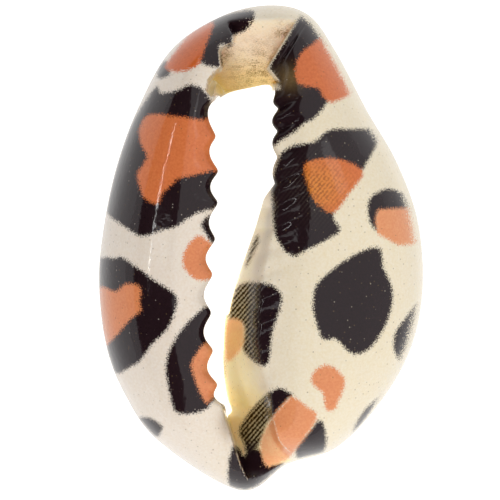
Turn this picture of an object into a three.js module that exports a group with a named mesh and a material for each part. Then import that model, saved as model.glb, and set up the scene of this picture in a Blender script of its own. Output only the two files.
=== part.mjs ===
// A printed cowrie shell bead: a small cowrie whose back has been ground away flat,
// so the toothed slot of its mouth runs right through. It lies on the ground face with
// the mouth up. The shell grew as one piece, so it is one closed solid, made as a ring:
// a closed cross-section carried once round the slot and changed from station to station.
// Millimetres, +Z up, +Y towards the wide front end of the slot, origin under the middle.
import * as THREE from "three";
import { ParametricGeometry } from "three/addons/geometries/ParametricGeometry.js";

// Driving dimensions
const LENGTH = 22.0; // over the two ends
const WIDTH = 14.65; // over the widest places
const HEIGHT = 7.0; // from the ground face to the top of the inner lip
const CALLUS = 2.4; // thickness of the thick base over the hollow
const RIM_WALL = 1.2; // outer wall where the back is ground through
const INNER_WALL = 1.0; // wall of the inner whorl where it is ground through
const RIM_TUCK = 0.35; // how far the ground edge lies inside the widest outline
const LIP_NOSE = 0.7; // thickness of the free edge of the outer lip
const UNDERCUT = 0.45; // how far the wall falls back beneath the teeth of the inner lip

// Teeth of the outer lip, on the left, and of the inner lip, on the right
const LIP_TEETH = { pitch: 1.55, first: 6.58, depth: 0.42, reach: 0.75, sharpness: 0.02 };
const INNER_TEETH = { pitch: 1.05, first: 6.6, depth: 0.26, reach: 0.9, sharpness: 0.05 };
const TEETH_FRONT = 7.1; // the teeth run between these two places along the length
const TEETH_BACK = -7.3;

// Stations round the ring, from the front end, down the outer lip, round the back end and
// up the inner lip. rim: widest outline. slot: edge of the slot. edge: where the face turns
// into the slot, as a share of the way from slot to rim. crest: top of the face. foot: height
// of the edge of the slot, 0 where it is ground. hollow: share of the full hollow beneath.
const STATIONS = [
  { rim: [0.4, LENGTH / 2], slot: [-0.5, 7.3], edge: 0.1, crest: 5.0, foot: 0, hollow: 0 },
  { rim: [-1.8, 10.5], slot: [-1.6, 7.0], edge: 0.08, crest: 5.5, foot: 0, hollow: 0.1 },
  { rim: [-4.05, 9.0], slot: [-2.0, 6.4], edge: 0.01, crest: 6.1, foot: 5.0, hollow: 0.6 },
  { rim: [-5.5, 6.5], slot: [-1.93, 5.2], edge: 0.01, crest: 6.5, foot: 5.4, hollow: 0.95 },
  { rim: [-6.5, 3.85], slot: [-1.8, 3.5], edge: 0.01, crest: 6.7, foot: 5.6, hollow: 1 },
  { rim: [-7.1, 1.15], slot: [-1.84, 1.5], edge: 0.01, crest: 6.8, foot: 5.7, hollow: 1 },
  { rim: [-WIDTH / 2, -1.45], slot: [-2.04, -1.0], edge: 0.01, crest: 6.8, foot: 5.7, hollow: 1 },
  { rim: [-7.05, -4.3], slot: [-2.1, -3.7], edge: 0.01, crest: 6.7, foot: 5.6, hollow: 1 },
  { rim: [-6.2, -6.6], slot: [-1.85, -6.0], edge: 0.01, crest: 6.4, foot: 5.3, hollow: 0.9 },
  { rim: [-4.6, -8.8], slot: [-1.65, -7.1], edge: 0.01, crest: 5.9, foot: 4.8, hollow: 0.5 },
  { rim: [-0.95, -LENGTH / 2], slot: [-1.55, -7.6], edge: 0.05, crest: 5.0, foot: 0, hollow: 0 },
  { rim: [1.2, -9.8], slot: [-1.35, -7.4], edge: 0.1, crest: 5.6, foot: 0, hollow: 0.1 },
  { rim: [3.4, -9.05], slot: [-1.55, -6.8], edge: 0.34, crest: 6.3, foot: 0, hollow: 0.5 },
  { rim: [5.35, -7.05], slot: [-1.7, -5.8], edge: 0.24, crest: 6.8, foot: 0, hollow: 0.85 },
  { rim: [6.75, -4.6], slot: [-1.7, -4.4], edge: 0.16, crest: HEIGHT, foot: 0, hollow: 1 },
  { rim: [WIDTH / 2, -1.9], slot: [-1.2, -1.8], edge: 0.11, crest: HEIGHT, foot: 0, hollow: 1 },
  { rim: [7.1, 1.15], slot: [-0.2, 1.15], edge: 0.08, crest: HEIGHT, foot: 0, hollow: 1 },
  { rim: [6.15, 3.85], slot: [0.35, 3.4], edge: 0.03, crest: 6.9, foot: 0, hollow: 1 },
  { rim: [4.8, 6.2], slot: [0.4, 5.4], edge: 0.02, crest: 6.6, foot: 0, hollow: 0.85 },
  { rim: [3.4, 8.85], slot: [0.5, 6.75], edge: 0.02, crest: 6.1, foot: 0, hollow: 0.5 },
  { rim: [2.15, 10.55], slot: [0.4, 7.4], edge: 0.1, crest: 5.5, foot: 0, hollow: 0.1 },
];

// The front canal: a floor that falls between the two lips, from the end of the shell to the slot.
// Each pair: place along the length, x of the bank
const CANAL_LEFT = [[6.6, -2.3], [7.2, -2.8], [8.4, -2.3], [9.4, -1.9], [10.8, -2.1]];
const CANAL_RIGHT = [[7.3, 1.2], [8.2, 0.8], [9.8, 1.7], [10.8, 2.3]];
const CANAL = { slot: 7.0, end: 11.0, top: 4.4, fall: 1.9, edge: 0.4, round: 0.35, bank: 0.9 };

// The back canal: a trough beside the end of the outer lip, rising to the right to a sharp crease.
// Each row: place along the length, x of the lip's edge, floor height there, rise to the right
const TROUGH = [
  [7.2, -1.75, 0.4, 2.2],
  [7.9, -1.55, 1.6, 1.9],
  [8.6, -1.3, 2.7, 1.3],
  [9.6, -0.95, 3.7, 0.8],
  [10.8, -0.5, 4.5, 0.4],
];
const TROUGH_BANK = 0.5;

// Facets: round the ring, and along each of the four stretches of the cross-section
const AROUND = 126;
const STRETCHES = { face: 21, nose: 3, inside: 11, ground: 3 };

const SHELL_COLOUR = 0xe6dccb;

const { lerp, clamp, smoothstep } = THREE.MathUtils;

const ring = (pick) =>
  new THREE.CatmullRomCurve3(STATIONS.map((s) => new THREE.Vector3(...pick(s))), true, "catmullrom", 0.5);
const rimLine = ring((s) => [...s.rim, s.hollow]);
const slotLine = ring((s) => [...s.slot, 0]);
const sectionLine = ring((s) => [s.edge, s.crest, s.foot]);

// Straight interpolation in rows that rise in their first number
function along(rows, place, column = 1) {
  const next = rows.findIndex(([at]) => at > place);
  if (next === 0) return rows[0][column];
  if (next < 0) return rows.at(-1)[column];
  const [low, high] = [rows[next - 1], rows[next]];
  return lerp(low[column], high[column], (place - low[0]) / (high[0] - low[0]));
}

// Cross-section at one place round the ring, as the four stretches it is made of.
// x is the share of the way from slot to rim, y the height.
function sectionAt(u) {
  const rim = rimLine.getPoint(u);
  const slot = slotLine.getPoint(u);
  const { x: edge, y: crest, z: footRaw } = sectionLine.getPoint(u);
  const width = Math.hypot(rim.x - slot.x, rim.y - slot.y);
  const foot = Math.max(0, footRaw);
  const hollow = clamp(rim.z, 0, 1) * (crest - CALLUS);
  const free = clamp(foot / (crest - 2 * LIP_NOSE), 0, 1); // 1 on the free outer lip
  const face = (share) => lerp(edge, 1, share);
  const under = (UNDERCUT * (1 - smoothstep(edge, 0.03, 0.06)) * (1 - smoothstep(free, 0, 0.2))) / width;
  const nose = [lerp(INNER_WALL, 0.3, free) / width + under, Math.max(0, foot - LIP_NOSE)];
  const turn = crest - lerp(0.8, 0.5, free);
  const rimWall = 1 - RIM_WALL / width;
  const inside = (share) => lerp(nose[0], rimWall, share);
  const points = {
    face: [
      [1 - RIM_TUCK / width, 0], [1, 0.36 * crest], [face(0.9), 0.7 * crest], [face(0.66), 0.92 * crest],
      [face(0.36), crest], [face(0.1), crest - lerp(0.25, 0.2, free)], [edge, turn],
      [0.45 * edge + 0.5 * under, lerp(foot, turn, 0.55)], [under, foot],
    ],
    nose: [[under, foot], nose],
    inside: [
      nose, [inside(0.08), lerp(nose[1], hollow, 0.6)], [inside(0.27), 0.97 * hollow], [inside(0.58), hollow],
      [inside(0.88), 0.86 * hollow], [inside(0.97), 0.45 * hollow], [rimWall, 0],
    ],
    ground: [[rimWall, 0], [1 - RIM_TUCK / width, 0]],
  };
  const curves = {};
  for (const [name, outline] of Object.entries(points)) {
    curves[name] = new THREE.SplineCurve(outline.map((p) => new THREE.Vector2(...p)));
  }
  return { rim, slot, edge, width, free, curves };
}

// How far between two teeth a place is: 0 on the tip of a tooth, 1 in the gap
function gap(teeth, y) {
  const wave = Math.sin((Math.PI * (y - teeth.first)) / teeth.pitch);
  const started = smoothstep(y, TEETH_BACK, TEETH_BACK + 1);
  const ended = smoothstep(y, TEETH_FRONT - 0.5, TEETH_FRONT);
  return started * (1 - ended) * Math.sqrt(wave * wave * (1 - teeth.sharpness) + teeth.sharpness);
}

// Lowers the face into the front canal and the back trough
function carved(x, y, z) {
  const [left, right] = [along(CANAL_LEFT, y), along(CANAL_RIGHT, y)];
  const inCanal =
    smoothstep(x, left, left + CANAL.bank) * (1 - smoothstep(x, right - CANAL.bank, right)) *
    smoothstep(y, CANAL_LEFT[0][0], CANAL_LEFT[0][0] + 0.4);
  const down = clamp((CANAL.end - y) / (CANAL.end - CANAL.slot), 0, 1);
  const floor = Math.max(CANAL.top * (1 - down ** CANAL.fall), CANAL.edge);
  const meet = clamp(0.5 + (floor - z) / (2 * CANAL.round), 0, 1);
  const low = lerp(floor, z, meet) - CANAL.round * meet * (1 - meet);
  const front = lerp(z, z > CANAL.edge ? low : z, inCanal);
  const lip = along(TROUGH, -y);
  const trough = along(TROUGH, -y, 2) + along(TROUGH, -y, 3) * Math.max(x - lip, 0);
  const inTrough = smoothstep(x, lip, lip + TROUGH_BANK) * smoothstep(-y, 7.1, 7.5);
  return Math.min(front, lerp(front, trough, inTrough));
}

const sections = Array.from({ length: AROUND }, (_, i) => sectionAt(i / AROUND));

// Steps once round the cross-section: the stretch each lies on, and the share of the way along it
const steps = Object.entries(STRETCHES).flatMap(([name, count]) =>
  Array.from({ length: count }, (_, i) => ({ name, at: i / count })),
);

// Point of the surface: u once round the ring, v once round the cross-section
function shellPoint(u, v, target) {
  const section = sections[Math.round(u * AROUND) % AROUND];
  const { name, at } = steps[Math.round(v * steps.length) % steps.length];
  const { x: share, y: height } = section.curves[name].getPoint(at);
  const onFace = name === "face" && at > 0;
  const { rim, slot, edge, width, free } = section;
  const y0 = lerp(slot.y, rim.y, share);
  const teeth = free > 0.5 ? LIP_TEETH : INNER_TEETH;
  const fromEdge = (share - edge) * width;
  const near = onFace || free > 0.5 ? Math.exp(-((fromEdge / teeth.reach) ** 2)) : 0;
  const cut = teeth.depth * gap(teeth, y0) * near * clamp(2 * height, 0, 1);
  const moved = share + cut / width;
  const x = lerp(slot.x, rim.x, moved);
  const y = lerp(slot.y, rim.y, moved);
  target.set(x, y, onFace ? Math.min(height, carved(x, y, height)) : height);
}

const shell = new THREE.Mesh(
  new ParametricGeometry(shellPoint, AROUND, steps.length),
  new THREE.MeshStandardMaterial({ color: SHELL_COLOUR, roughness: 0.25, metalness: 0 }),
);
shell.name = "shell";

const bead = new THREE.Group();
bead.add(shell);
export default bead;
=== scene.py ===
import math

import bpy
import numpy as np
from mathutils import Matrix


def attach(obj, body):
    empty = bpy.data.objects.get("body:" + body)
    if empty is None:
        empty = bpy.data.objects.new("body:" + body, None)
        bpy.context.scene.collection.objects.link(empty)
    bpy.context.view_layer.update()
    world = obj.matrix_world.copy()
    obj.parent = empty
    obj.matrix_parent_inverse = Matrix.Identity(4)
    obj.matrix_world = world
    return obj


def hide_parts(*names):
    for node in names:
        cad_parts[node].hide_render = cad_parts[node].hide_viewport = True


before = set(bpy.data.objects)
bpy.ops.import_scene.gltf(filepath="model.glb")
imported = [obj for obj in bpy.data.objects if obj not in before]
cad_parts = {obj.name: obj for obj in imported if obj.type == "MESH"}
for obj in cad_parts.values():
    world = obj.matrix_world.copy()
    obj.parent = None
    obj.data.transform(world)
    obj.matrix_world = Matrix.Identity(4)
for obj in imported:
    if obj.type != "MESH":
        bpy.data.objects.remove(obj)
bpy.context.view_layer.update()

# Camera
# A long lens straight above the bead, with the wide front end of the slot at the top of the picture.
# Lengths are written in millimetres, and MM turns them into metres.
MM = 0.001
VIEW_MIDDLE = (-0.51, -0.10)
VIEW_WIDTH = 22.585
VIEW_DISTANCE, VIEW_FOCUS = 300.0, 3.0
SENSOR = 36.0

lens = bpy.data.cameras.new("camera")
lens.sensor_width = SENSOR
lens.lens = SENSOR * VIEW_DISTANCE / VIEW_WIDTH
lens.clip_start = MM
camera = bpy.data.objects.new("camera", lens)
camera.location = (VIEW_MIDDLE[0] * MM, VIEW_MIDDLE[1] * MM, (VIEW_DISTANCE + VIEW_FOCUS) * MM)
bpy.context.collection.objects.link(camera)
bpy.context.scene.camera = camera
bpy.context.scene.view_settings.view_transform = "Standard"

# Shell, the body of the bead
# One small cowrie shell of aragonite with its back ground off flat, so that its toothed slot runs right
# through. A closed cross-section is carried once round the slot and changes from station to station.
CALLUS = 2.4
RIM_WALL, RIM_TUCK = 1.2, 0.35
INNER_WALL, INNER_DROP, INNER_ROLL = 1.0, 0.8, 0.25
LIP_WALL, LIP_DROP, LIP_ROLL, LIP_NOSE = 0.3, 0.5, 0.2, 0.7
UNDERCUT, UNDERCUT_EDGE, UNDERCUT_FREE = 0.45, (0.03, 0.06), (0.0, 0.2)
AROUND = 660
FACE_STEPS, NOSE_STEPS, INSIDE_STEPS, GROUND_STEPS = 104, 8, 28, 4

# Each station: outline x and y, slot x and y, edge share, crest height, foot height, share of hollow
STATIONS = np.array([
    (0.4, 11.0, -0.5, 7.3, 0.1, 5.0, 0, 0),
    (-1.8, 10.5, -1.6, 7.0, 0.08, 5.5, 0, 0.1),
    (-4.05, 9.0, -2.0, 6.4, 0.01, 6.1, 5.0, 0.6),
    (-5.5, 6.5, -1.93, 5.2, 0.01, 6.5, 5.4, 0.95),
    (-6.5, 3.85, -1.8, 3.5, 0.01, 6.7, 5.6, 1),
    (-7.1, 1.15, -1.84, 1.5, 0.01, 6.8, 5.7, 1),
    (-7.35, -1.45, -2.04, -1.0, 0.01, 6.8, 5.7, 1),
    (-7.05, -4.3, -2.1, -3.7, 0.01, 6.7, 5.6, 1),
    (-6.2, -6.6, -1.85, -6.0, 0.01, 6.4, 5.3, 0.9),
    (-4.6, -8.8, -1.65, -7.1, 0.01, 5.9, 4.8, 0.5),
    (-0.95, -11.0, -1.55, -7.6, 0.05, 5.0, 0, 0),
    (1.2, -9.8, -1.35, -7.4, 0.1, 5.6, 0, 0.1),
    (3.4, -9.05, -1.55, -6.8, 0.34, 6.3, 0, 0.5),
    (5.35, -7.05, -1.7, -5.8, 0.24, 6.8, 0, 0.85),
    (6.75, -4.6, -1.7, -4.4, 0.16, 7.0, 0, 1),
    (7.3, -1.9, -1.2, -1.8, 0.11, 7.0, 0, 1),
    (7.1, 1.15, -0.2, 1.15, 0.08, 7.0, 0, 1),
    (6.15, 3.85, 0.35, 3.4, 0.03, 6.9, 0, 1),
    (4.8, 6.2, 0.4, 5.4, 0.02, 6.6, 0, 0.85),
    (3.4, 8.85, 0.5, 6.75, 0.02, 6.1, 0, 0.5),
    (2.15, 10.55, 0.4, 7.4, 0.1, 5.5, 0, 0.1),
])


def spline(points, places, closed=False):
    """Smooth curve through points, along the last axis but one; places run from 0 to 1."""
    count = points.shape[-2]
    spans = count if closed else count - 1
    at = np.minimum(places * spans, spans - 1e-9)
    first = np.floor(at).astype(int)
    t = (at - first)[:, None]
    corners = [first + k for k in (-1, 0, 1, 2)]
    corners = [c % count if closed else np.clip(c, 0, count - 1) for c in corners]
    p0, p1, p2, p3 = (points[..., c, :] for c in corners)
    v0 = (p2 - p0) / 2
    v1 = (p3 - p1) / 2
    return (2 * p1 - 2 * p2 + v0 + v1) * t**3 + (3 * p2 - 3 * p1 - 2 * v0 - v1) * t**2 + v0 * t + p1


def ramp(x, low, high):
    """0 below low, 1 above high, smooth between."""
    t = np.clip((x - low) / (high - low), 0, 1)
    return t * t * (3 - 2 * t)


def mix(a, b, share):
    return a + (b - a) * share


ring = spline(STATIONS, np.arange(AROUND) / AROUND, closed=True)
rim, slot = ring[:, None, 0:2], ring[:, None, 2:4]
edge, crest, foot, hollow = ring[:, 4:].T
foot = np.maximum(foot, 0)
hollow = np.clip(hollow, 0, 1) * (crest - CALLUS)
width = np.linalg.norm(rim - slot, axis=2)[:, 0]
free = np.clip(foot / (crest - 2 * LIP_NOSE), 0, 1)
turn = crest - mix(INNER_DROP, LIP_DROP, free)
undercut = UNDERCUT * (1 - ramp(edge, *UNDERCUT_EDGE)) * (1 - ramp(free, *UNDERCUT_FREE)) / width
nose_share = mix(INNER_WALL, LIP_WALL, free) / width + undercut
nose_height = np.maximum(foot - LIP_NOSE, 0)
rim_share = 1 - RIM_TUCK / width
wall_share = 1 - RIM_WALL / width
zero = np.zeros(AROUND)


def stretch(points, steps):
    """One stretch of the cross-section at every place round the ring, without its last point."""
    table = np.stack([np.stack([zero + s, zero + h], axis=1) for s, h in points], axis=1)
    return spline(table, np.arange(steps) / steps)


def face_share(share):
    return mix(edge, 1, share)


def inside_share(share):
    return mix(nose_share, wall_share, share)


# Each point: share of the way from the slot to the rim, and height. The line runs from the rim over the
# face to the slot, under the lip, back through the hollow and along the ground face.
section = np.concatenate([
    stretch([
        (rim_share, 0), (1, 0.36 * crest), (face_share(0.9), 0.7 * crest), (face_share(0.66), 0.92 * crest),
        (face_share(0.36), crest), (face_share(0.1), crest - mix(INNER_ROLL, LIP_ROLL, free)), (edge, turn),
        (0.45 * edge + 0.5 * undercut, mix(foot, turn, 0.55)), (undercut, foot),
    ], FACE_STEPS),
    stretch([(undercut, foot), (nose_share, nose_height)], NOSE_STEPS),
    stretch([
        (nose_share, nose_height), (inside_share(0.08), mix(nose_height, hollow, 0.6)),
        (inside_share(0.27), 0.97 * hollow), (inside_share(0.58), hollow),
        (inside_share(0.88), 0.86 * hollow), (inside_share(0.97), 0.45 * hollow), (wall_share, 0),
    ], INSIDE_STEPS),
    stretch([(wall_share, 0), (rim_share, 0)], GROUND_STEPS),
], axis=1)
share, height = section[..., 0], section[..., 1]
ACROSS = share.shape[1]
on_face = np.arange(ACROSS)[None, :] < FACE_STEPS
on_nose = (np.arange(ACROSS)[None, :] < FACE_STEPS + NOSE_STEPS) & ~on_face
plan = mix(slot, rim, share[..., None])

# Chip: the cut edge of the inner wall is broken back as far as CHIP_TOP, and past it stands out in a small
# step that runs into the wall again; places are measured from the middle towards the back end
CHIP_TOP, CHIP_STEP, CHIP_END, CHIP_OUT = 3.04, 0.03, 4.8, 0.13
CHIP_REACH, CHIP_HIGH = 0.4, 1.2
back = -plan[..., 1]
past_chip = ramp(back, CHIP_TOP - CHIP_STEP, CHIP_TOP + CHIP_STEP) * (1 - ramp(back, CHIP_TOP, CHIP_END))
by_cut = (1 - ramp(share * width[:, None], 0, CHIP_REACH)) * (1 - ramp(height, 0, CHIP_HIGH))
is_lip = (free > 0.5)[:, None]
plan[..., 0] -= CHIP_OUT * past_chip * by_cut * ~is_lip

# Front canal: a sloping floor between the two lips, from the end of the shell down to the slot
CANAL_LEFT = (
    (6.63, -2.18), (7.03, -2.5), (7.48, -2.41), (7.85, -2.18), (8.07, -1.82), (8.48, -1.91), (8.84, -1.91),
    (9.07, -1.68), (9.2, -1.32), (9.52, -1.28), (9.97, -1.5), (10.4, -1.6), (10.8, -1.9),
)
CANAL_RIGHT = ((7.3, 0.98), (7.76, 0.57), (8.12, 0.3), (8.66, 0.66), (9.83, 1.39), (10.83, 2.02))
CANAL_SLOT, CANAL_END, CANAL_TOP, CANAL_FALL = 7.0, 11.0, 4.4, 1.9
CANAL_EDGE, CANAL_ROUND = 0.4, 0.35
CANAL_BANK, CANAL_RUN, CANAL_COVER = 0.1, 0.3, (-0.3, 0.1)
CANAL_FOOT = ((-2.2, 6.63), (1.0, 7.35))
SLOT_SIDE = 0.5
x, y = plan[..., 0], plan[..., 1]
left = np.interp(y, *zip(*CANAL_LEFT))
right = np.interp(y, *zip(*CANAL_RIGHT))
in_canal = ramp(x, left, left + CANAL_BANK) * (1 - ramp(x, right - CANAL_BANK, right))
canal_foot = np.interp(x, *zip(*CANAL_FOOT))
in_canal *= ramp(y, canal_foot, canal_foot + CANAL_RUN)
down = np.clip((CANAL_END - y) / (CANAL_END - CANAL_SLOT), 0, 1)
canal_floor = np.maximum(CANAL_TOP * (1 - down**CANAL_FALL), CANAL_EDGE)
meet = np.clip(0.5 + (canal_floor - height) / (2 * CANAL_ROUND), 0, 1)
rounded_floor = mix(canal_floor, height, meet) - CANAL_ROUND * meet * (1 - meet)
carved = mix(height, np.where(height > CANAL_EDGE, rounded_floor, height), in_canal)
past_edge = (share - edge[:, None]) * width[:, None]
by_slot = past_edge < SLOT_SIDE
in_canal = in_canal * np.maximum(by_slot, ramp(height - canal_floor, *CANAL_COVER))

# Back canal: a trough beside the end of the outer lip, rising to the right up to a sharp crease.
# Each row: place along the length, x of the lip's edge, x of the crease, floor height beside the lip
TROUGH_ROWS = np.array([
    (7.2, -1.75, 0.45, 0.4),
    (7.9, -1.55, 0.6, 1.5),
    (8.6, -1.35, 0.8, 2.4),
    (9.1, -1.2, 1.2, 2.9),
    (9.6, -1.05, 1.6, 3.3),
    (10.2, -0.8, 1.2, 3.8),
    (10.8, -0.5, 0.2, 4.6),
])
TROUGH_STEPS = 60
TROUGH_BANK, TROUGH_HOLLOW = 0.16, 1.3
TROUGH_BEGIN, TROUGH_COVER = (5.4, 7.9), (-0.1, 0.2)
trough_line = spline(TROUGH_ROWS, np.linspace(0, 1, TROUGH_STEPS))
lip_x, crease_x, trough_floor = (np.interp(-y, trough_line[:, 0], line) for line in trough_line.T[1:])
up_trough = np.clip((x - lip_x) / (crease_x - lip_x), 0, 1)
trough = mix(trough_floor, carved, up_trough**TROUGH_HOLLOW)
in_trough = ramp(x, lip_x, lip_x + TROUGH_BANK) * ramp(-y, *TROUGH_BEGIN)
in_trough = in_trough * (up_trough < 1) * np.maximum(by_slot, ramp(carved - trough_floor, *TROUGH_COVER))
carved = np.minimum(carved, mix(carved, trough, in_trough))

# Fold beside the canal, on the inner lip's side
FOLD_OFF, FOLD_WIDE, FOLD_DEEP = 0.42, 0.09, 0.14
FOLD_BEGIN, FOLD_END = (8.0, 8.4), (9.8, 10.4)
on_fold = np.exp(-(((x - right - FOLD_OFF) / FOLD_WIDE) ** 2))
on_fold = on_fold * ramp(y, *FOLD_BEGIN) * (1 - ramp(y, *FOLD_END))
carved = carved - FOLD_DEEP * on_fold
height = np.maximum(np.where(on_face, np.minimum(height, carved), height), 0)

# Where the teeth of both lips stand: how many teeth along, which way a gap is cut and how deep
LIP_TEETH_Y = (6.58, 4.96, 3.42, 2.02, 0.39, -1.19, -2.9, -4.58, -6.11, -7.38)
LIP_DEPTH, LIP_REACH = 0.42, 0.75
RIDGE_Y = (7.5, 6.6, 5.68, 4.68, 3.37, 2.33, 1.3, 0.3, -0.8, -1.9, -3.0, -4.1, -5.2, -6.3, -7.4)
RIDGE_DEPTH, RIDGE_REACH, RIDGE_SLANT = 0.36, 1.0, 0.45
RIDGE_BACK, RIDGE_DOWN = 0.85, 0.8
LIP_POWER, RIDGE_POWER = 0.5, 0.25
TEETH_BEGIN, TEETH_END, TEETH_FOOT = (-7.3, -6.3), (6.6, 7.1), 0.5
RIDGE_FADE = ((-7.0, 0.0), (-5.0, 0.25), (0.0, 0.35), (3.0, 0.9), (4.5, 1.4), (7.0, 1.8))
lip_along = np.interp(-y, [-t for t in LIP_TEETH_Y], np.arange(len(LIP_TEETH_Y)))
ridge_along = np.interp(
    RIDGE_SLANT * np.maximum(past_edge, 0) - y, [-t for t in RIDGE_Y], np.arange(len(RIDGE_Y)),
)
tooth_along = np.where(is_lip, lip_along, ridge_along)
reach = np.where(is_lip, LIP_REACH, RIDGE_REACH)
ridge_depth = RIDGE_DEPTH * np.interp(y, *zip(*RIDGE_FADE))
tooth_depth = np.where(is_lip, LIP_DEPTH, ridge_depth) * np.exp(-((past_edge / reach) ** 2))
tooth_depth = tooth_depth * ramp(y, *TEETH_BEGIN) * (1 - ramp(y, *TEETH_END))
tooth_depth = np.where(on_face | is_lip, tooth_depth, 0)
tooth_depth = tooth_depth * np.clip(height / TEETH_FOOT, 0, 1)
outward = (rim - slot) / width[:, None, None] * np.where(is_lip, 1.0, RIDGE_BACK)[:, :, None]
outward = np.broadcast_to(outward, plan.shape)
press = np.where(is_lip, 0.0, -RIDGE_DOWN) + 0 * height

corners = np.dstack([plan, height]).reshape(-1, 3)
here = np.arange(AROUND * ACROSS).reshape(AROUND, ACROSS)
next_ring = np.roll(here, -1, axis=0)
quads = np.stack([
    here, next_ring, np.roll(next_ring, -1, axis=1), np.roll(here, -1, axis=1),
], axis=2).reshape(-1, 4)
body = bpy.data.meshes.new("shell_blank")
body.from_pydata((corners * MM).tolist(), [], quads.tolist())


def give(mesh, name, values, kind="FLOAT", field="value"):
    """Stores one value for each corner of the mesh."""
    layer = mesh.attributes.new(name, kind, "POINT")
    layer.data.foreach_set(field, np.ascontiguousarray(values, dtype=np.float32).ravel())


give(body, "tooth_along", tooth_along)
give(body, "tooth_broad", np.where(is_lip, 0, 1) + 0 * height)
give(body, "tooth_depth", tooth_depth * MM)
give(body, "gap_way", np.dstack([outward, press]), "FLOAT_VECTOR", "vector")


def put(tree, kind, inputs=None, **settings):
    """Adds one node with its settings and its inputs: values, sockets, or nodes for their first output."""
    made = tree.nodes.new(kind)
    for name, value in settings.items():
        setattr(made, name, value)
    for name, value in (inputs or {}).items():
        if isinstance(value, bpy.types.Node):
            value = next(output for output in value.outputs if output.enabled)
        if isinstance(value, bpy.types.NodeSocket):
            tree.links.new(value, made.inputs[name])
        else:
            made.inputs[name].default_value = value
    return made


def linear(code):
    """Linear colour of an sRGB hex value."""
    parts = [int(code[i : i + 2], 16) / 255 for i in (1, 3, 5)]
    return (*(c / 12.92 if c <= 0.04045 else ((c + 0.055) / 1.055) ** 2.4 for c in parts), 1)


printed_shell = bpy.data.materials.new("printed_shell")

teeth = bpy.data.node_groups.new("lip_teeth", "GeometryNodeTree")
teeth.interface.new_socket("Shell", in_out="INPUT", socket_type="NodeSocketGeometry")
teeth.interface.new_socket("Tip Roundness", in_out="INPUT", socket_type="NodeSocketFloat")
teeth.interface.new_socket("Depth Share", in_out="INPUT", socket_type="NodeSocketFloat")
teeth.interface.new_socket("Shell", in_out="OUTPUT", socket_type="NodeSocketGeometry")
given = put(teeth, "NodeGroupInput")
along_name = put(teeth, "GeometryNodeInputNamedAttribute", {"Name": "tooth_along"})
depth_name = put(teeth, "GeometryNodeInputNamedAttribute", {"Name": "tooth_depth"})
way_name = put(teeth, "GeometryNodeInputNamedAttribute", {"Name": "gap_way"}, data_type="FLOAT_VECTOR")
broad_name = put(teeth, "GeometryNodeInputNamedAttribute", {"Name": "tooth_broad"})
tip_round = given.outputs["Tip Roundness"]
angle = put(teeth, "ShaderNodeMath", {0: along_name, 1: math.pi}, operation="MULTIPLY")
waves = []
for kind, power in (("SINE", LIP_POWER), ("COSINE", RIDGE_POWER)):
    wave = put(teeth, "ShaderNodeMath", {0: angle}, operation=kind)
    square = put(teeth, "ShaderNodeMath", {0: wave, 1: 2}, operation="POWER")
    rounded = put(teeth, "ShaderNodeMath", {0: square, 1: tip_round}, operation="ADD")
    waves.append(put(teeth, "ShaderNodeMath", {0: rounded, 1: power}, operation="POWER"))
notch = put(teeth, "ShaderNodeMath", {0: 1, 1: waves[1]}, operation="SUBTRACT")
gap = put(teeth, "ShaderNodeMix", {0: broad_name, 2: waves[0], 3: notch}, data_type="FLOAT")
deep = put(teeth, "ShaderNodeMath", {0: gap, 1: depth_name}, operation="MULTIPLY")
shared = put(teeth, "ShaderNodeMath", {0: deep, 1: given.outputs["Depth Share"]}, operation="MULTIPLY")
push = put(teeth, "ShaderNodeVectorMath", {0: way_name, "Scale": shared}, operation="SCALE")
moved = put(teeth, "GeometryNodeSetPosition", {"Geometry": given.outputs["Shell"], "Offset": push})
whole = put(teeth, "GeometryNodeRealizeInstances", {0: moved})
dressed = put(teeth, "GeometryNodeSetMaterial", {"Geometry": whole, "Material": printed_shell})
put(teeth, "NodeGroupOutput", {0: dressed})

blank = bpy.data.objects.new("shell_blank", body)
bpy.context.collection.objects.link(blank)
cutter = blank.modifiers.new("lip_teeth", "NODES")
cutter.node_group = teeth
SHARP_ANGLE = 55.0
sizes = {"Tip Roundness": 0.1, "Depth Share": 1.1}
for item in teeth.interface.items_tree:
    if item.in_out == "INPUT" and item.name in sizes:
        cutter[item.identifier] = sizes[item.name]
toothed = bpy.data.meshes.new_from_object(blank.evaluated_get(bpy.context.evaluated_depsgraph_get()))
bpy.data.objects.remove(blank)
bpy.data.meshes.remove(body)
toothed.name = "shell"
for name in ("tooth_along", "tooth_broad", "tooth_depth", "gap_way"):
    toothed.attributes.remove(toothed.attributes[name])
toothed.shade_smooth()
toothed.set_sharp_from_angle(angle=math.radians(SHARP_ANGLE))
shell = bpy.data.objects.new("shell_body", toothed)
bpy.context.collection.objects.link(shell)

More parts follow.
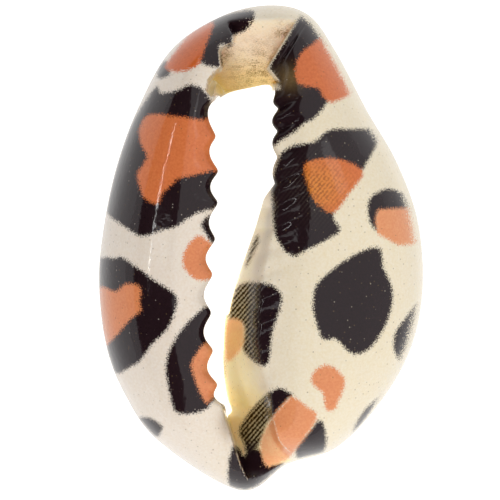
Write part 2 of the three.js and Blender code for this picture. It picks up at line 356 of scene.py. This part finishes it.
# The printed pattern: leopard spots, black with orange hearts, printed from above in one pass.
# Each outline is a closed curve through points given in pixels of the photograph, from its top
# left corner. PIXEL is the size of one on the shell, and MIDDLE_PIXEL the one over the shell's origin.
PIXEL = 0.04517
MIDDLE_PIXEL = (261.3, 247.7)
CURVE_STEPS = 6
BLACK_SPOTS = (
    (
        (209, 19), (249, 10), (254, 20), (246, 31), (234, 36), (231, 47), (220, 47), (221, 68), (199, 63),
        (200, 47), (207, 28),
    ),
    ((160, 64), (168, 62), (170, 76), (158, 78)),
    (
        (155, 89), (162, 94), (178, 92), (188, 87), (199, 88), (209, 98), (214, 110), (226, 145),
        (228, 171), (226, 203), (197, 214), (178, 226), (162, 231), (142, 236), (123, 225), (108, 214),
        (104, 200), (112, 165), (130, 125),
    ),
    ((208, 217), (202, 225), (207, 235), (212, 243), (224, 243), (220, 217)),
    (
        (96, 263), (116, 258), (123, 257), (138, 267), (156, 280), (177, 295), (175, 313), (168, 328),
        (151, 346), (141, 360), (131, 366), (117, 373), (104, 360), (96, 320),
    ),
    (
        (206, 306), (222, 304), (222, 325), (222, 347), (224, 382), (208, 406), (191, 412), (176, 410),
        (171, 394), (167, 371), (169, 354), (177, 336), (191, 319),
    ),
    ((140, 419), (151, 417), (162, 424), (162, 429), (156, 436)),
    (
        (307, 12), (326, 40), (321, 48), (309, 56), (303, 66), (305, 80), (320, 86), (329, 99),
        (314, 119), (304, 125), (287, 138), (264, 147), (264, 96), (279, 90), (274, 76), (270, 67),
        (286, 41), (295, 25),
    ),
    (
        (274, 172), (280, 156), (292, 147), (313, 143), (327, 132), (347, 130), (378, 134), (362, 170),
        (333, 213), (339, 230), (322, 242), (304, 251), (292, 256), (281, 247), (274, 230), (272, 205),
        (271, 187),
    ),
    (
        (367, 204), (373, 195), (387, 189), (404, 195), (416, 210), (400, 214), (378, 214), (377, 232),
        (368, 221),
    ),
    (
        (378, 248), (382, 267), (391, 288), (389, 312), (379, 334), (365, 350), (350, 352), (335, 338),
        (322, 338), (315, 321), (312, 303), (316, 284), (333, 268), (358, 252),
    ),
    ((417, 304), (424, 314), (408, 362), (394, 352), (394, 333), (405, 317)),
    ((386, 394), (368, 405), (356, 422), (353, 436), (362, 432), (377, 413)),
    ((257, 235), (258, 244), (246, 267), (250, 250)),
    (
        (238, 286), (266, 283), (280, 292), (280, 306), (272, 332), (266, 364), (243, 350), (244, 326),
        (229, 321),
    ),
    (
        (281, 387), (292, 393), (286, 399), (273, 415), (267, 422), (261, 441), (250, 456), (244, 444),
        (240, 427), (261, 398), (272, 389),
    ),
    ((319, 418), (325, 430), (325, 447), (315, 462), (301, 462), (295, 447), (307, 431)),
    (
        (233, 445), (229, 460), (228, 479), (233, 489), (246, 490), (261, 484), (283, 464), (270, 462),
        (261, 450), (250, 448), (244, 456), (240, 450),
    ),
)
ORANGE_SPOTS = (
    (
        (211, 22), (213, 28), (206, 47), (200, 65), (195, 69), (184, 73), (171, 72), (166, 66), (178, 48),
        (194, 28),
    ),
    (
        (149, 116), (172, 117), (200, 121), (216, 122), (230, 168), (210, 172), (194, 176), (180, 179),
        (172, 186), (163, 195), (160, 203), (155, 204), (145, 198), (141, 188), (138, 175), (144, 165),
        (148, 157), (142, 145), (140, 130),
    ),
    (
        (199, 236), (212, 244), (220, 254), (220, 274), (210, 279), (197, 279), (186, 269), (184, 259),
        (188, 246),
    ),
    (
        (98, 290), (116, 291), (126, 284), (138, 284), (142, 290), (141, 302), (142, 310), (131, 319),
        (112, 340), (100, 345),
    ),
    (
        (208, 341), (222, 345), (222, 360), (222, 382), (218, 391), (208, 401), (202, 394), (196, 379),
        (192, 365), (197, 352),
    ),
    (
        (315, 43), (325, 38), (335, 49), (354, 87), (334, 103), (324, 100), (317, 90), (298, 85),
        (295, 70), (300, 56),
    ),
    ((304, 166), (319, 160), (341, 161), (362, 173), (347, 195), (333, 213), (316, 204), (307, 186)),
    ((376, 212), (391, 209), (416, 210), (421, 230), (416, 242), (399, 245), (384, 238), (376, 232)),
    ((227, 323), (241, 321), (244, 336), (240, 350), (226, 361)),
    (
        (322, 364), (333, 366), (344, 379), (338, 398), (333, 408), (325, 407), (322, 392), (312, 382),
        (312, 372),
    ),
    (
        (292, 395), (307, 405), (316, 416), (298, 444), (286, 459), (266, 465), (261, 441), (273, 415),
        (286, 399),
    ),
)
# How pale the ink of each orange spot came out, in the same order
ORANGE_PALE = (0.0, 0.15, 0.35, 0.35, 0.4, 0.1, 0.1, 0.55, 1.0, 0.45, 0.5)
SPOT_SOFT = 0.5

place = np.empty(len(toothed.vertices) * 3)
toothed.vertices.foreach_get("co", place)
place = place.reshape(-1, 3) / MM
upward = np.empty(len(toothed.vertices) * 3)
toothed.vertex_normals.foreach_get("vector", upward)
upward = upward.reshape(-1, 3)[:, 2]


def within(spots):
    """How far each corner of the shell lies inside the nearest spot, negative outside, and which it is."""
    depth = np.full(len(place), -SPOT_SOFT)
    nearest_spot = np.zeros(len(place), int)
    for number, spot in enumerate(spots):
        steps = np.linspace(0, 1, CURVE_STEPS * len(spot), endpoint=False)
        curve = spline(np.array(spot, float), steps, closed=True)
        line = (curve - MIDDLE_PIXEL) * (PIXEL, -PIXEL)
        low, high = line.min(axis=0) - SPOT_SOFT, line.max(axis=0) + SPOT_SOFT
        near = np.flatnonzero(((place[:, :2] > low) & (place[:, :2] < high)).all(axis=1))
        point = place[near, :2]
        inside = np.zeros(len(near), bool)
        nearest = np.full(len(near), SPOT_SOFT)
        for start, end in zip(line, np.roll(line, -1, axis=0)):
            side = end - start
            t = np.clip(((point - start) @ side) / (side @ side), 0, 1)
            nearest = np.minimum(nearest, np.linalg.norm(point - start - t[:, None] * side, axis=1))
            crosses = (start[1] > point[:, 1]) != (end[1] > point[:, 1])
            at = start[0] + (point[:, 1] - start[1]) * side[0] / (side[1] if side[1] else 1e-9)
            inside ^= crosses & (point[:, 0] < at)
        signed = np.where(inside, nearest, -nearest)
        deeper = signed > depth[near]
        depth[near[deeper]] = signed[deeper]
        nearest_spot[near[deeper]] = number
    return depth, nearest_spot


# Where the ink lies solid, where it breaks into raster dots, where it hardly reached the surface, and where
# it is taken off as painted edge highlights. Each place: x, y and reach; a thin one also has the share of
# the ink that is missing in its middle.
THIN_PLACES = ((-0.45, 10.1, 0.4, 0.5),)
# Painted edge highlights: thin pale lines where the ink is taken off along the crease, the outer lip's end
# and both canal banks. Their width, fade at the ends and share of ink taken off, then each line's span
# along the length and the lip line's offset.
HIGHLIGHT_LINE_WIDE, HIGHLIGHT_LINE_FADE, HIGHLIGHT_INK_OFF = 0.05, 0.3, 0.65
CREASE_HIGHLIGHT, LIP_END_HIGHLIGHT, LIP_LINE = (-9.9, -7.5), (-10.7, -9.0), 0.04
LEFT_BANK_HIGHLIGHT, RIGHT_BANK_HIGHLIGHT = (6.9, 9.5), (7.3, 9.8)
RASTER_PLACE = (2.5, 2.7, 1.2)
RASTER_INK, ORANGE_RASTER = 0.1, 1.4
AMBER_PLACES = (RASTER_PLACE, (-1.2, -4.2, 0.9))
STAIN_PLACES = ((-0.1, 7.9, 1.3), (-1.65, 8.75, 0.45), (0.95, 9.7, 0.4))
BROWN_PLACE = (1.25, 7.6, 0.55)
INSIDE_YELLOW, TROUGH_GOLD = 0.3, 0.4
RIDGE_BARE, RIDGE_BEGIN = 0.7, (-1.0, 1.0)
WALL_EDGE, WALL_SHARE, WALL_END = (-0.4, 0.4), (0.04, 0.08), -7.3
TROUGH_SIDE, TROUGH_TOP = (0.1, 0.5), (0.8, 1.0)
TROUGH_HATCH_END, TROUGH_END = (8.4, 9.3), (9.9, 10.5)
LOW_CANAL, LOW_WALL, CANAL_FROM = (0.8, 3.6), (1.2, 2.8), (3.0, 6.0)
# How far a slope is turned up, as its normal's height, where the ink ends and where it is whole
OUTER_FLANK, INNER_FLANK, BACK_FLANK, END_FLANK = (-0.05, 0.3), (0.05, 0.7), (0.05, 0.3), (-0.1, 0.5)
LIP_TURN, SLOT_TURN, LIP_SIDE = (-0.05, 0.1), (-0.1, 0.1), 0.8
BACK_FROM, END_FROM = (6.0, 8.0), (9.2, 10.0)


def around(middle_x, middle_y, reach):
    """1 at a place on the face, falling smoothly to 0 about twice the reach away."""
    return np.exp(-((place[:, 0] - middle_x) ** 2 + (place[:, 1] - middle_y) ** 2) / reach**2)


def along_line(off, low, high):
    """1 on a line across which off is measured, from low to high along the length, fading at its ends."""
    on_line = np.exp(-((off / HIGHLIGHT_LINE_WIDE) ** 2))
    return on_line * ramp(y, low, low + HIGHLIGHT_LINE_FADE) * (1 - ramp(y, high - HIGHLIGHT_LINE_FADE, high))


faced = np.broadcast_to(on_face | on_nose, height.shape).ravel()
on_wall = np.where(is_lip, 0, ramp(-past_edge, *WALL_EDGE)) * ramp(edge, *WALL_SHARE)[:, None]
by_trough = ramp(in_trough, *TROUGH_SIDE) * (1 - ramp(up_trough, *TROUGH_TOP))
in_slot = np.maximum.reduce([on_wall, in_canal, by_trough * (1 - ramp(-y, *TROUGH_END))]).ravel()
hatched = np.maximum(on_wall * (y > WALL_END), by_trough * (1 - ramp(-y, *TROUGH_HATCH_END))).ravel()
raster = around(*RASTER_PLACE)
amber = np.maximum.reduce([around(*spot) for spot in AMBER_PLACES])
thin = np.maximum.reduce([around(*spot) * missing for *spot, missing in THIN_PLACES])
soiled = np.maximum.reduce([around(*spot) for spot in STAIN_PLACES])
by_back = ramp(-place[:, 1], *BACK_FROM)
inner_flank = [mix(front, rear, by_back) for front, rear in zip(INNER_FLANK, BACK_FLANK)]
flank = np.where(place[:, 0] < 0, ramp(upward, *OUTER_FLANK), ramp(upward, *inner_flank))
flank = np.where(past_edge.ravel() < LIP_SIDE, ramp(upward, *LIP_TURN), flank)
flank = mix(flank, ramp(upward, *END_FLANK), ramp(-place[:, 1], *END_FROM))
landed = mix(flank, ramp(upward, *SLOT_TURN), in_slot)
# Painted edge highlights along the crease, the lip's end and the canal banks, then joined with the thin ink
# place
painted_edge_highlights = np.maximum.reduce([
    along_line(x - crease_x, *CREASE_HIGHLIGHT), along_line(x - lip_x - LIP_LINE, *LIP_END_HIGHLIGHT),
    along_line(x - left, *LEFT_BANK_HIGHLIGHT), along_line(x - right, *RIGHT_BANK_HIGHLIGHT),
]).ravel()
thin_ink_and_edge_highlights = np.maximum(thin, HIGHLIGHT_INK_OFF * painted_edge_highlights)
on_ridges = np.exp(-((past_edge / RIDGE_REACH) ** 2)) * ramp(y, *RIDGE_BEGIN)
on_ridges = np.where(is_lip, 0, on_ridges).ravel()
low_canal = 1 - ramp(place[:, 2], *LOW_CANAL)
low_wall = ramp(-place[:, 1], *LOW_WALL)
yellowed = mix(low_wall, low_canal, ramp(place[:, 1], *CANAL_FROM))
golden = np.maximum(in_canal, TROUGH_GOLD * by_trough).ravel()
black_depth, _ = within(BLACK_SPOTS)
orange_depth, orange_spot = within(ORANGE_SPOTS)
give(toothed, "black_ink", black_depth)
give(toothed, "orange_ink", orange_depth)
give(toothed, "orange_pale", np.maximum(np.array(ORANGE_PALE)[orange_spot], in_slot))
give(toothed, "orange_amber", amber)
give(toothed, "orange_raster", ORANGE_RASTER * raster)
give(toothed, "hatched", np.maximum(hatched, RASTER_INK * raster))
give(toothed, "ink_brown", around(*BROWN_PLACE))
# Ink coverage, less where the face turns away, where the ink is thin, and where edge highlights are painted
give(toothed, "ink_landed_less_highlights", np.where(faced, landed * (1 - thin_ink_and_edge_highlights), 0))
give(toothed, "slot_depth", np.where(faced, in_slot, 1))
give(toothed, "coat_thin", np.where(faced, np.maximum(in_slot, RIDGE_BARE * on_ridges), 1))
give(toothed, "slot_yellow", np.where(faced, yellowed, INSIDE_YELLOW))
give(toothed, "canal_floor", np.where(faced, golden, 0))
give(toothed, "canal_stain", np.where(faced, in_canal.ravel() * soiled, 0))

# Aragonite shell under UV-cured ink and clear coat: cream and slightly uneven, yellower inside the slot,
# dark spots with dotted edges, thinning to dots where the face turns away, all under one wet gloss.
CREAM, PALE = linear("#EBDEC3"), linear("#E7DACB")
SLOT_YELLOW, SLOT_BUFF = linear("#FFF0C8"), linear("#FCF3E2")
CANAL_GOLD, CANAL_PINK = linear("#F8DC9C"), linear("#FBE6CC")
BLACK, OLIVE = linear("#221418"), linear("#2C1F08")
BROWN, STAIN = linear("#6A5638"), linear("#9A7438")
DEEP_ORANGE, PALE_ORANGE = linear("#D0662F"), linear("#F0B282")
DEEP_AMBER, PALE_AMBER, DARK_AMBER = linear("#D67C26"), linear("#F0BC80"), linear("#8E4218")
GRAIN, MOTTLE, CLOUD = 0.06, 0.11, 0.5
EDGE_FRAY, EDGE_SOFT = 0.3, 0.1
HATCH, HATCH_TURN, HATCH_GAP, HATCH_BREAK = 0.154, 40.0, 0.43, (1.35, 2.0)
COLUMN_SHARE, BREAK_SHARE = 0.3, 2.4
STIPPLE, STIPPLE_ENDS = 0.88, (0.7, 1.0)
SPECK_APART, SPECK_SIZE, SPECK_SHARE = 0.3, (0.05, 0.14), 0.55
FLECK_APART, FLECK_SIZE, FLECK_SHARE = 0.36, (0.03, 0.1), 0.55
DIRT_GRAIN, DIRT_ENDS = 0.8, (0.7, 1.3)
WARM_FROM, WARM_TO = -4.0, 3.0
MOTTLE_SHARE = 0.25
RIPPLE_WIDE, RIPPLE_DEEP = 0.35, 0.01
COAT, FACE_CLEAR, SLOT_CLEAR, LIGHT_DEPTH = 0.85, 0.15, 0.6, 1.0
printed_shell.use_nodes = True
tree = printed_shell.node_tree
tree.nodes.clear()
coords = put(tree, "ShaderNodeTexCoord").outputs["Object"]
layers = {
    layer.name: put(tree, "ShaderNodeAttribute", attribute_name=layer.name).outputs["Fac"]
    for layer in toothed.attributes if layer.domain == "POINT" and layer.data_type == "FLOAT"
}
grain = put(tree, "ShaderNodeTexNoise", {"Vector": coords, "Scale": 1 / (GRAIN * MM), "Detail": 0.0})
mottle = put(tree, "ShaderNodeTexNoise", {"Vector": coords, "Scale": 1 / (MOTTLE * MM), "Detail": 1.0})
clouds = put(tree, "ShaderNodeTexNoise", {"Vector": coords, "Scale": 1 / (CLOUD * MM), "Detail": 2.0})

# Raster: rows of printed dots, as two crossing waves broken by the mottle; at scale 1 a wave is WAVE_LONG
WAVE_LONG = 0.1 * math.pi
rows, columns = (
    put(tree, "ShaderNodeTexWave", {
        "Vector": put(tree, "ShaderNodeMapping", {"Vector": coords, "Rotation": (0, 0, math.radians(way))}),
        "Scale": WAVE_LONG / (HATCH * MM), "Distortion": 1.0, "Detail Scale": 0.6,
    })
    for way in (HATCH_TURN, HATCH_TURN + 90)
)
dots = put(tree, "ShaderNodeMath", {0: columns, 1: COLUMN_SHARE, 2: rows}, operation="MULTIPLY_ADD")
broken = put(tree, "ShaderNodeMath", {0: mottle, 1: BREAK_SHARE, 2: dots}, operation="MULTIPLY_ADD")
gaps = put(tree, "ShaderNodeMapRange", {
    0: broken, 1: HATCH_BREAK[0], 2: HATCH_BREAK[1], 3: HATCH_GAP, 4: 0,
})
lost = put(tree, "ShaderNodeMath", {0: gaps, 1: layers["hatched"]}, operation="MULTIPLY")
held = put(tree, "ShaderNodeMath", {0: 1, 1: lost}, operation="SUBTRACT")
orange_rows = put(tree, "ShaderNodeMath", {0: gaps, 1: layers["orange_raster"]}, operation="MULTIPLY")
reached = put(
    tree, "ShaderNodeMath", {0: grain, 1: STIPPLE, 2: layers["ink_landed_less_highlights"]}, operation="MULTIPLY_ADD",
)
kept = put(
    tree, "ShaderNodeMapRange", {0: reached, 1: STIPPLE_ENDS[0], 2: STIPPLE_ENDS[1]},
    interpolation_type="SMOOTHSTEP",
)


def spot_mask(depth, *holds):
    """Ink mask from the depth inside a spot, with a dotted edge, where the ink holds."""
    frayed = put(tree, "ShaderNodeMath", {0: grain, 1: EDGE_FRAY, 2: depth}, operation="MULTIPLY_ADD")
    edge_low, edge_high = (EDGE_FRAY / 2 + side * EDGE_SOFT for side in (-1, 1))
    mask = put(
        tree, "ShaderNodeMapRange", {0: frayed, 1: edge_low, 2: edge_high}, interpolation_type="SMOOTHSTEP",
    )
    for hold in holds:
        mask = put(tree, "ShaderNodeMath", {0: mask, 1: hold}, operation="MULTIPLY")
    return mask


# Ground colours of the shell, with dark specks on the face and a brown stain in the front canal
specks = put(tree, "ShaderNodeTexVoronoi", {"Vector": coords, "Scale": 1 / (SPECK_APART * MM)})
speck = put(tree, "ShaderNodeMapRange", {
    0: specks, 1: SPECK_SIZE[0], 2: SPECK_SIZE[1], 3: SPECK_SHARE, 4: 0,
})
dirt = put(tree, "ShaderNodeMath", {0: grain, 1: DIRT_GRAIN, 2: clouds}, operation="MULTIPLY_ADD")
dirty = put(
    tree, "ShaderNodeMapRange", {0: dirt, 1: DIRT_ENDS[0], 2: DIRT_ENDS[1]},
    interpolation_type="SMOOTHSTEP",
)
stain = put(tree, "ShaderNodeMath", {0: dirty, 1: layers["canal_stain"]}, operation="MULTIPLY")
across = put(tree, "ShaderNodeSeparateXYZ", {0: coords}).outputs["X"]
warmth = put(
    tree, "ShaderNodeMapRange", {0: across, 1: WARM_FROM * MM, 2: WARM_TO * MM},
    interpolation_type="SMOOTHSTEP",
)
ground = put(tree, "ShaderNodeMix", {0: warmth, 6: PALE, 7: CREAM}, data_type="RGBA")
upper, lower = (
    put(tree, "ShaderNodeMix", {0: layers["canal_floor"], 6: wall, 7: canal}, data_type="RGBA")
    for wall, canal in ((SLOT_BUFF, CANAL_PINK), (SLOT_YELLOW, CANAL_GOLD))
)
deeper = put(tree, "ShaderNodeMix", {0: layers["slot_yellow"], 6: upper, 7: lower}, data_type="RGBA")
walls = put(tree, "ShaderNodeMix", {0: layers["slot_depth"], 6: ground, 7: deeper}, data_type="RGBA")
stained = put(tree, "ShaderNodeMix", {0: stain, 6: walls, 7: STAIN}, data_type="RGBA")

# Inks over the ground, black first, then orange
flecks = put(tree, "ShaderNodeTexVoronoi", {"Vector": coords, "Scale": 1 / (FLECK_APART * MM)})
unflecked = put(tree, "ShaderNodeMapRange", {
    0: flecks, 1: FLECK_SIZE[0], 2: FLECK_SIZE[1], 3: FLECK_SHARE, 4: 1,
})
dark = put(tree, "ShaderNodeMix", {0: layers["hatched"], 6: BLACK, 7: OLIVE}, data_type="RGBA")
black = put(tree, "ShaderNodeMix", {0: layers["ink_brown"], 6: dark, 7: BROWN}, data_type="RGBA")
plain, gold = (
    put(tree, "ShaderNodeMix", {0: layers["orange_pale"], 6: deep, 7: pale}, data_type="RGBA")
    for deep, pale in ((DEEP_ORANGE, PALE_ORANGE), (DEEP_AMBER, PALE_AMBER))
)
flat = put(tree, "ShaderNodeMix", {0: layers["orange_amber"], 6: plain, 7: gold}, data_type="RGBA")
orange = put(tree, "ShaderNodeMix", {0: orange_rows, 6: flat, 7: DARK_AMBER}, data_type="RGBA")
black_mask = spot_mask(layers["black_ink"], held, kept, unflecked)
orange_mask = spot_mask(layers["orange_ink"], kept)
blacked = put(tree, "ShaderNodeMix", {0: black_mask, 6: stained, 7: black}, data_type="RGBA")
inked = put(tree, "ShaderNodeMix", {0: orange_mask, 6: blacked, 7: orange}, data_type="RGBA")
specked = put(tree, "ShaderNodeMix", {0: speck, 6: inked, 7: BROWN}, data_type="RGBA")
mottled = put(
    tree, "ShaderNodeMix", {0: MOTTLE_SHARE, 6: specked, 7: mottle}, data_type="RGBA", blend_type="OVERLAY",
)

uneven = put(tree, "ShaderNodeTexNoise", {"Vector": coords, "Scale": 1 / (RIPPLE_WIDE * MM), "Detail": 2.0})
ripple = put(tree, "ShaderNodeBump", {"Strength": 1.0, "Distance": RIPPLE_DEEP * MM, "Height": uneven})
gloss = put(tree, "ShaderNodeMapRange", {0: layers["coat_thin"], 1: 0, 2: 1, 3: COAT, 4: 0})
clear = put(tree, "ShaderNodeMapRange", {0: layers["slot_depth"], 1: 0, 2: 1, 3: FACE_CLEAR, 4: SLOT_CLEAR})
surface = put(tree, "ShaderNodeBsdfPrincipled", {
    "Base Color": mottled, "Roughness": 0.4, "IOR": 1.5, "Specular IOR Level": 0.0, "Normal": ripple,
    "Subsurface Weight": clear, "Subsurface Radius": (1.0, 0.85, 0.55),
    "Subsurface Scale": LIGHT_DEPTH * MM,
    "Coat Weight": gloss, "Coat Roughness": 0.08, "Coat Normal": ripple,
})
put(tree, "ShaderNodeOutputMaterial", {"Surface": surface})

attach(shell, "root")
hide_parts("shell")

# Floor
# A plain white sheet, lit like a light table so that the slot shows white. Under the back half of the slot
# it shines brighter, up into the wall.
FLOOR_HALF = 250.0
SHEET_GREY = linear("#BCBCBC")
FLOOR_GLOW, SLOT_GLOW, SEEN_GLOW = 0.6, 1.7, 1.0
SLOT_MIDDLE, SLOT_HALF, SLOT_FADE = (-1.3, -4.4), (1.6, 4.8), 0.7
sheet = bpy.data.meshes.new("floor")
ends = ((-1, -1), (1, -1), (1, 1), (-1, 1))
sheet.from_pydata([(a * FLOOR_HALF * MM, b * FLOOR_HALF * MM, 0) for a, b in ends], [], [(0, 1, 2, 3)])
floor = bpy.data.objects.new("floor", sheet)
bpy.context.collection.objects.link(floor)
white_sheet = bpy.data.materials.new("white_sheet")
white_sheet.use_nodes = True
glow = white_sheet.node_tree.nodes["Principled BSDF"]
glow.inputs["Base Color"].default_value = SHEET_GREY
glow.inputs["Roughness"].default_value = 0.9
glow.inputs["Emission Color"].default_value = (1, 1, 1, 1)
table = white_sheet.node_tree
under_slot = put(table, "ShaderNodeMapping", {
    "Vector": put(table, "ShaderNodeTexCoord").outputs["Object"],
    "Location": (*(-middle / half for middle, half in zip(SLOT_MIDDLE, SLOT_HALF)), 0),
    "Scale": (*(1 / (half * MM) for half in SLOT_HALF), 1),
})
away = put(table, "ShaderNodeVectorMath", {0: under_slot}, operation="LENGTH").outputs["Value"]
shine = put(table, "ShaderNodeMapRange", {0: away, 1: SLOT_FADE, 2: 1, 3: SLOT_GLOW, 4: FLOOR_GLOW})
looked_at = put(table, "ShaderNodeLightPath").outputs["Is Camera Ray"]
seen = put(table, "ShaderNodeMix", {0: looked_at, 2: shine, 3: SEEN_GLOW}, data_type="FLOAT")
table.links.new(seen.outputs[0], glow.inputs["Emission Strength"])
sheet.materials.append(white_sheet)

# Studio light
# Even white light all round, as in a light tent, with a softbox on the right and a black flag on the left
# that keeps the gloss dark on slopes that face it.
TENT_LIGHT = 0.84
world = bpy.data.worlds.new("studio")
world.use_nodes = True
world.node_tree.nodes["Background"].inputs["Color"].default_value = (1, 1, 1, 1)
world.node_tree.nodes["Background"].inputs["Strength"].default_value = TENT_LIGHT
bpy.context.scene.world = world

# Before the flag, an upright strip puts strokes on the ridges and a level one sparkles on the left crest.
# A fill that shows in no gloss lights the slopes that face the flag.
# Each lamp: name, width, height, power in watts, and where it stands, turned to the bead
for name, lamp_wide, lamp_high, power, stand in (
    ("softbox", 80.0, 80.0, 0.02, (140.0, 90.0, 250.0)),
    ("upright_strip", 14.0, 100.0, 0.006, (-110.0, 10.0, 145.0)),
    ("level_strip", 70.0, 2.5, 0.012, (-108.0, 30.0, 118.0)),
    ("fill", 60.0, 60.0, 0.175, (-50.0, -110.0, 170.0)),
):
    lamp = bpy.data.lights.new(name, "AREA")
    lamp.shape = "RECTANGLE"
    lamp.size, lamp.size_y = lamp_wide * MM, lamp_high * MM
    lamp.energy = power
    light = bpy.data.objects.new(name, lamp)
    light.location = [c * MM for c in stand]
    light.rotation_euler = light.location.to_track_quat("Z", "Y").to_euler()
    light.visible_camera = False
    light.visible_glossy = name != "fill"
    bpy.context.collection.objects.link(light)

FLAG_AWAY, FLAG_LOW, FLAG_HIGH, FLAG_HALF = 120.0, 30.0, 600.0, 300.0
card = bpy.data.meshes.new("flag")
sides = ((-1, FLAG_LOW), (1, FLAG_LOW), (1, FLAG_HIGH), (-1, FLAG_HIGH))
card.from_pydata([(-FLAG_AWAY * MM, a * FLAG_HALF * MM, b * MM) for a, b in sides], [], [(0, 1, 2, 3)])
flag = bpy.data.objects.new("flag", card)
bpy.context.collection.objects.link(flag)
flag.visible_camera = False
black_cloth = bpy.data.materials.new("black_cloth")
black_cloth.use_nodes = True
black_cloth.node_tree.nodes["Principled BSDF"].inputs["Base Color"].default_value = linear("#181818")
black_cloth.node_tree.nodes["Principled BSDF"].inputs["Roughness"].default_value = 1.0
card.materials.append(black_cloth)
